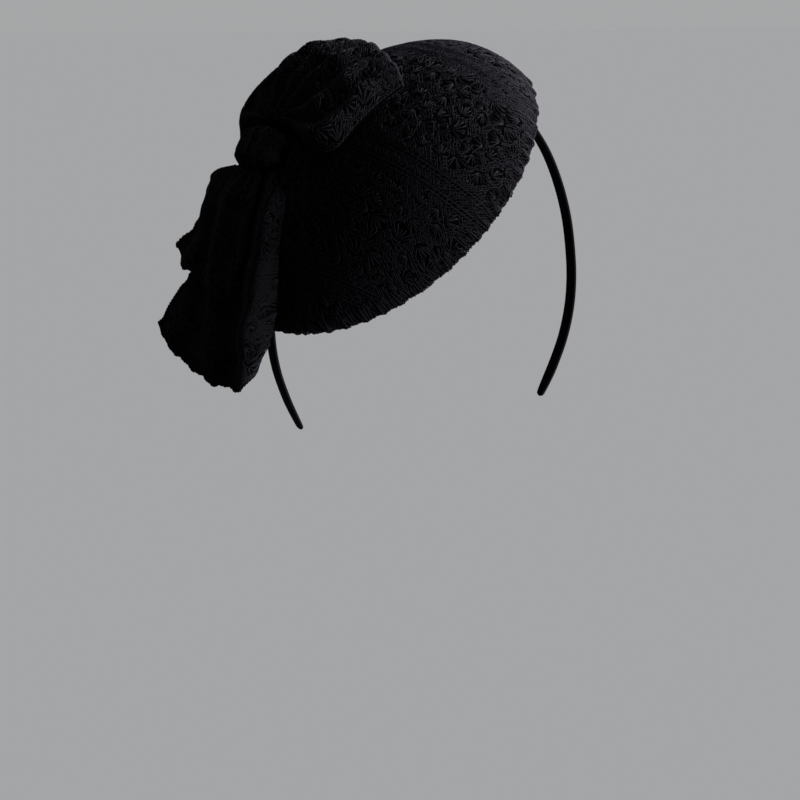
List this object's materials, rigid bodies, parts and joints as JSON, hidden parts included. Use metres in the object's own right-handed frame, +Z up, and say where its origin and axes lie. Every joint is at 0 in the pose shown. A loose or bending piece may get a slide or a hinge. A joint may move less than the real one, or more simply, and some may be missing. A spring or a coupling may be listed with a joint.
{
  "type": "fascinator",
  "caption": "Shallow oval lace-covered cap on a slim headband, worn tilted to one side, with a gathered lace bow of a puffed loop, a knot and hanging tails.",
  "frame": {"origin": "top of the wearer's head: the underside of the headband at the middle of its arch", "axes": "+Z up, -Y towards the wearer's face, -X towards the wearer's right side, where the cap sits"},
  "size_m": [0.1887, 0.164, 0.1633],
  "materials": {
    "cap_lace": "black openwork lace with a faint violet cast, stretched over a black cloth base",
    "bow_lace": "the same black lace, loose and gathered",
    "band_plastic": "smooth black with a low gloss"
  },
  "bodies": {
    "root": {"cap": "cap_lace", "bow_knot": "bow_lace", "bow_loop": "bow_lace", "bow_long_tail": "bow_lace", "bow_short_tail": "bow_lace", "headband": "band_plastic"}
  },
  "joints": []
}
